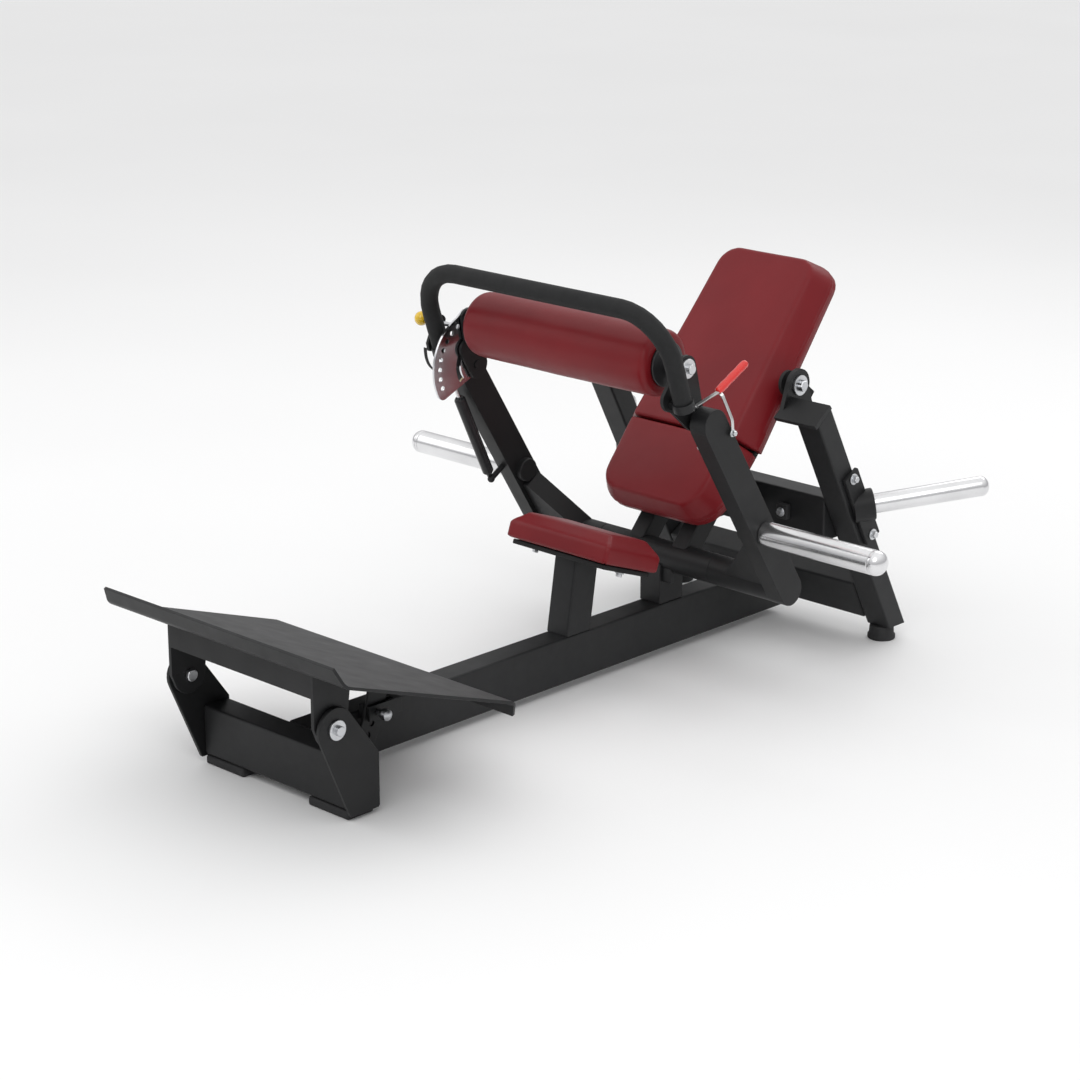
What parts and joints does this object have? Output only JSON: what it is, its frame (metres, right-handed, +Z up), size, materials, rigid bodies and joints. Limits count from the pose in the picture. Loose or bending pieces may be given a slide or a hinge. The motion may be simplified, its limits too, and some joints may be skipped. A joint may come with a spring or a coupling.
{
  "type": "hip thrust machine",
  "caption": "Plate-loaded hip thrust machine: reclined back pad, hip roller on a swinging lever with weight horns, tilting foot plate and rear plate storage horns.",
  "frame": {"origin": "centre of the footprint on the floor", "axes": "+Z up, +X to the user's left hand side when seated and facing the foot plate, -Y towards the foot plate, +Y towards the storage horns"},
  "size_m": [1.306, 1.6759, 0.8621],
  "materials": {
    "black_paint": "satin black powder coat",
    "black_rubber": "matte black rubber",
    "painted_board": "black painted plywood",
    "red_vinyl": "burgundy leatherette, soft sheen",
    "chrome": "bright satin chrome",
    "zinc_plate": "bright zinc plate",
    "foam_sleeve": "matte closed-cell foam sleeve",
    "moulded_hub": "black moulded hub",
    "yellow_plastic": "glossy yellow",
    "bare_steel": "bare stainless",
    "red_grip": "bright red dipped vinyl"
  },
  "bodies": {
    "frame": {"front_crossbar": "black_paint", "end_plate_left": "black_paint", "end_plate_right": "black_paint", "rubber_pad_left": "black_rubber", "rubber_pad_right": "black_rubber", "main_rail": "black_paint", "foot_lock_bracket": "black_paint", "seat_post": "black_paint", "seat_board": "painted_board", "seat_pad": "red_vinyl", "rear_leg_left": "black_paint", "rear_leg_right": "black_paint", "rear_foot_left": "black_rubber", "rear_foot_right": "black_rubber", "upper_crossbeam": "black_paint", "lower_crossbeam": "black_paint", "hinge_bracket_left": "black_paint", "hinge_bracket_right": "black_paint", "storage_plate_left": "black_paint", "storage_plate_right": "black_paint", "storage_horn_left": "chrome", "storage_horn_right": "chrome", "pivot_housing": "black_paint", "pivot_pedestal": "black_paint", "back_rail_left": "black_paint", "back_rail_right": "black_paint", "stop_bumper": "black_rubber"},
    "foot_plate": {"foot_plate": "black_paint", "foot_plate_bracket": "black_paint", "foot_pivot_bolt_left": "zinc_plate", "foot_pivot_bolt_right": "zinc_plate", "foot_index_plate": "black_paint"},
    "foot_lock_pin": {"foot_lock_pin": "zinc_plate"},
    "lever": {"pivot_shaft": "zinc_plate", "lever_arm_left": "black_paint", "lever_arm_right": "black_paint", "hub_sleeve_left": "black_paint", "hub_sleeve_right": "black_paint", "weight_horn_left": "chrome", "weight_horn_right": "chrome", "horn_cap_left": "chrome", "horn_cap_right": "chrome", "index_sector": "zinc_plate"},
    "carriage": {"handlebar": "foam_sleeve", "carriage_plate_left": "black_paint", "carriage_plate_right": "black_paint", "handle_bracket_left": "black_paint", "roller_axle": "zinc_plate", "pin_bracket": "black_paint"},
    "roller": {"roller_pad": "red_vinyl", "roller_core": "moulded_hub"},
    "pull_pin": {"pull_pin": "zinc_plate", "pull_pin_knob": "yellow_plastic"},
    "gas_strut_cylinder": {"gas_strut_cylinder": "black_paint"},
    "gas_strut_rod": {"gas_strut_rod": "chrome"},
    "latch": {"latch_yoke": "bare_steel", "latch_grip": "red_grip"},
    "back_rest": {"upper_back_pad": "red_vinyl", "lower_back_pad": "red_vinyl", "back_frame": "black_paint"}
  },
  "joints": [
    {"name": "lever_swing", "type": "hinge", "parent": "frame", "child": "lever", "pos_m": [0, 0.37595, 0.218], "axis": [1, 0, 0], "range_deg": [-35, 0]},
    {"name": "carriage_swing", "type": "hinge", "parent": "lever", "child": "carriage", "pos_m": [0, 0.12085, 0.6246], "axis": [1, 0, 0], "range_deg": [0, 84]},
    {"name": "roller_spin", "type": "hinge", "parent": "carriage", "child": "roller", "pos_m": [0, 0.09995, 0.722], "axis": [1, 0, 0], "continuous": true},
    {"name": "pull_pin_slide", "type": "slide", "parent": "carriage", "child": "pull_pin", "axis": [-1, 0, 0], "range_m": [-0.0055, 0.012], "stiffness_N_per_m": 600},
    {"name": "foot_plate_tilt", "type": "hinge", "parent": "frame", "child": "foot_plate", "pos_m": [0, -0.73905, 0.192], "axis": [1, 0, 0], "range_deg": [0, 11]},
    {"name": "foot_lock_pin_slide", "type": "slide", "parent": "frame", "child": "foot_lock_pin", "axis": [1, 0, 0], "range_m": [-0.008, 0.01], "stiffness_N_per_m": 600},
    {"name": "gas_strut_swing", "type": "hinge", "parent": "lever", "child": "gas_strut_cylinder", "pos_m": [-0.335, 0.20595, 0.35], "axis": [1, 0, 0], "range_deg": [-1, 4]},
    {"name": "gas_strut_slide", "type": "slide", "parent": "gas_strut_cylinder", "child": "gas_strut_rod", "axis": [0, -0.4299, 0.9029], "range_m": [-0.079, 0.001]},
    {"name": "latch_swing", "type": "hinge", "parent": "lever", "child": "latch", "pos_m": [0.335, 0.17295, 0.59], "axis": [1, 0, 0], "range_deg": [-25, 0]},
    {"name": "back_rest_tilt", "type": "hinge", "parent": "frame", "child": "back_rest", "pos_m": [0, 0.54695, 0.593], "axis": [1, 0, 0], "range_deg": [-20, 0]}
  ],
  "couplings": [
    {"joint": "gas_strut_swing", "follows": "carriage_swing", "ratio": 0.0064},
    {"joint": "gas_strut_slide", "follows": "carriage_swing", "m_per_rad": -0.0523}
  ]
}
